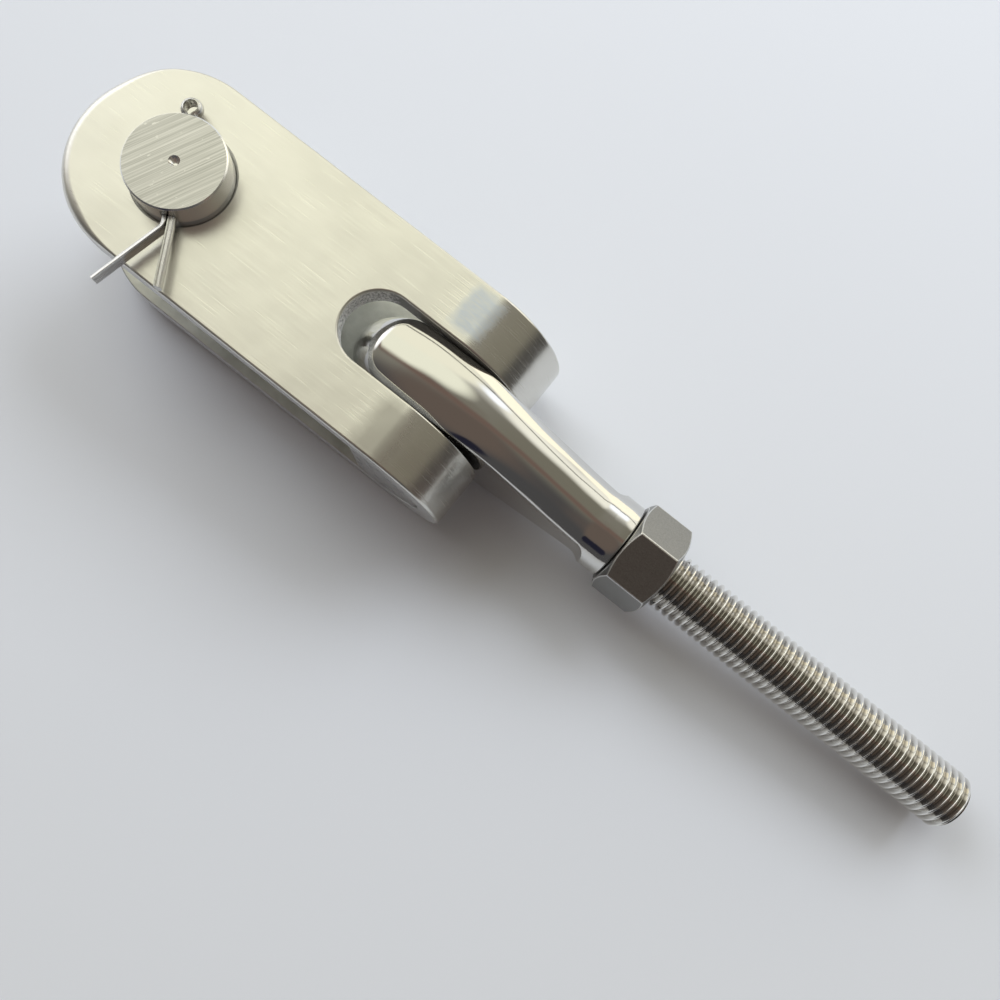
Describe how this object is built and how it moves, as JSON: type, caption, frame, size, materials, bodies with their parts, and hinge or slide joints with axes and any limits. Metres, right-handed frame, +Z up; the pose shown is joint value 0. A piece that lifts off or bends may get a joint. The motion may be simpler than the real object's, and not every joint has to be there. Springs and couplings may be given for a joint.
{
  "type": "rigging turnbuckle toggle jaw end",
  "caption": "Strap toggle jaw with clevis pin and cotter, swinging T-bolt with threaded stud and lock nut, the end fitting of a rigging turnbuckle.",
  "frame": {"origin": "on the clevis pin's axis, midway between the strap's two cheeks", "axes": "+X from the clevis pin towards the threaded stud, +Z up along the clevis pin"},
  "size_m": [0.3325, 0.0711, 0.0625],
  "materials": {
    "strap_steel": "satin, brushed along the strap",
    "pin_steel": "machined end, polished shank",
    "cotter_steel": "drawn wire",
    "polished_steel": "mirror polished",
    "nut_steel": "fine matte with bright edges"
  },
  "bodies": {
    "strap": {"toggle_strap": "strap_steel"},
    "clevis_pin": {"clevis_pin": "pin_steel", "cotter_pin": "cotter_steel"},
    "t_bolt": {"t_bolt": "polished_steel"},
    "lock_nut": {"lock_nut": "nut_steel"}
  },
  "joints": [
    {"name": "pin_turn", "type": "hinge", "parent": "strap", "child": "clevis_pin", "pos_m": [0, 0, 0], "axis": [0, 0, 1], "continuous": true},
    {"name": "t_bolt_swing", "type": "hinge", "parent": "strap", "child": "t_bolt", "pos_m": [0.094, 0, 0], "axis": [0, 1, 0], "range_deg": [-108.36, 105.64]},
    {"name": "nut_travel", "type": "slide", "parent": "t_bolt", "child": "lock_nut", "axis": [0.9997, 0, -0.0237], "range_m": [0, 0.11]}
  ]
}
